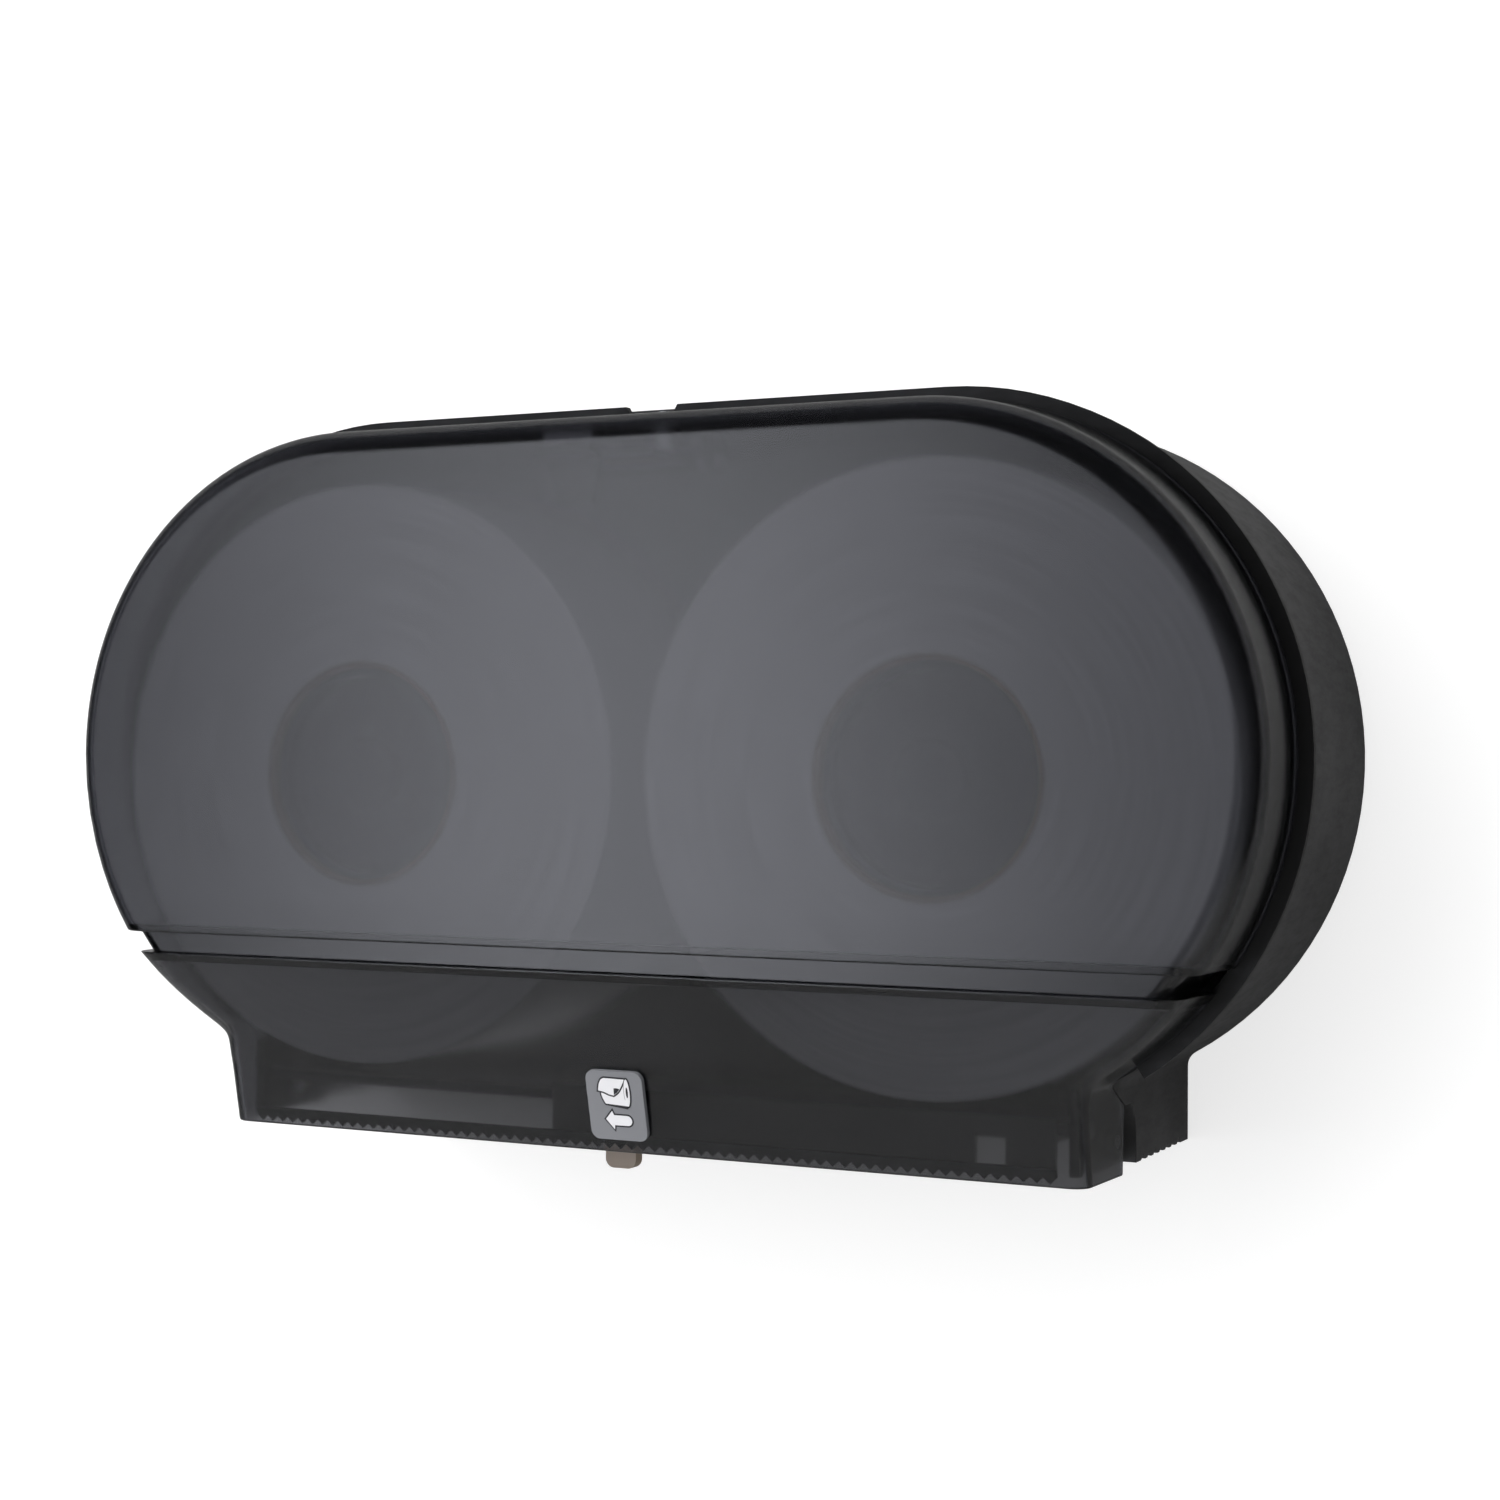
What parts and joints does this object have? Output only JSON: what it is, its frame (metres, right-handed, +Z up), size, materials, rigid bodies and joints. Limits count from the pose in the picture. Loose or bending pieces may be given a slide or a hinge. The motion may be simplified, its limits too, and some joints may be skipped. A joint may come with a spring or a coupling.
{
  "type": "twin jumbo toilet roll dispenser",
  "caption": "Wall-mounted twin jumbo toilet roll dispenser with a smoked hinged cover, roll hubs, a sliding outlet shutter and a keyed latch.",
  "frame": {"origin": "Centre of the four wall screw holes on the wall face, level with the centres of the round ends.", "axes": "+X along the wall to the right as seen from the front, +Y into the wall, +Z up."},
  "size_m": [0.503, 0.13, 0.2884],
  "materials": {
    "housing_plastic": "fine matt black moulding",
    "smoked_plastic": "dark smoked translucent plastic, smooth outside and frosted inside",
    "grey_plastic": "dark grey moulding",
    "black_plastic": "black moulding",
    "zinc_steel": "bright zinc plated steel",
    "release_steel": "satin",
    "badge_grey": "satin mid grey plate",
    "badge_white": "white raised print",
    "shutter_plastic": "smoked translucent plastic",
    "handle_plastic": "brown smoked translucent plastic",
    "core_board": "plain wound board",
    "tissue": "soft wound tissue"
  },
  "bodies": {
    "housing": {"back_housing": "housing_plastic", "shutter_rail": "housing_plastic", "rail_screws": "zinc_steel", "hinge_pins": "zinc_steel", "axle_left": "grey_plastic", "axle_right": "grey_plastic", "axle_screws": "zinc_steel", "axle_cap_left": "black_plastic", "axle_cap_right": "black_plastic", "latch_bracket": "housing_plastic", "bracket_screws": "zinc_steel", "latch_pin": "zinc_steel", "latch_spring": "zinc_steel"},
    "cover": {"front_cover": "smoked_plastic", "cover_groove": "smoked_plastic", "cover_apron": "smoked_plastic", "badge_plate": "badge_grey", "badge_symbols": "badge_white", "tear_bar": "housing_plastic", "cover_keeper": "zinc_steel", "keeper_rivets": "zinc_steel"},
    "shutter": {"shutter_panel": "shutter_plastic", "shutter_handle": "handle_plastic"},
    "left_roll": {"hub_left": "black_plastic", "core_left": "core_board", "paper_left": "tissue"},
    "right_roll": {"hub_right": "black_plastic", "core_right": "core_board", "paper_right": "tissue"},
    "latch": {"latch_lever": "black_plastic"},
    "release": {"release_pin": "release_steel"}
  },
  "joints": [
    {"name": "cover_hinge", "type": "hinge", "parent": "housing", "child": "cover", "pos_m": [0, -0.08, -0.134], "axis": [1, 0, 0], "range_deg": [0, 100]},
    {"name": "shutter_slide", "type": "slide", "parent": "housing", "child": "shutter", "axis": [-1, 0, 0], "range_m": [0, 0.118]},
    {"name": "left_roll_spin", "type": "hinge", "parent": "housing", "child": "left_roll", "pos_m": [-0.1193, -0.06, -0.007], "axis": [0, -1, 0], "continuous": true},
    {"name": "right_roll_spin", "type": "hinge", "parent": "housing", "child": "right_roll", "pos_m": [0.1193, -0.06, -0.007], "axis": [0, -1, 0], "continuous": true},
    {"name": "latch_turn", "type": "hinge", "parent": "housing", "child": "latch", "pos_m": [0, -0.066, 0.1126], "axis": [1, 0, 0], "range_deg": [0, 7.2], "stiffness_Nm_per_rad": 0.5, "springref_deg": -2.86},
    {"name": "release_slide", "type": "slide", "parent": "housing", "child": "release", "axis": [0, 0, -1], "range_m": [0, 0.0025]}
  ],
  "couplings": [
    {"joint": "release_slide", "follows": "latch_turn", "m_per_rad": 0.0198}
  ]
}
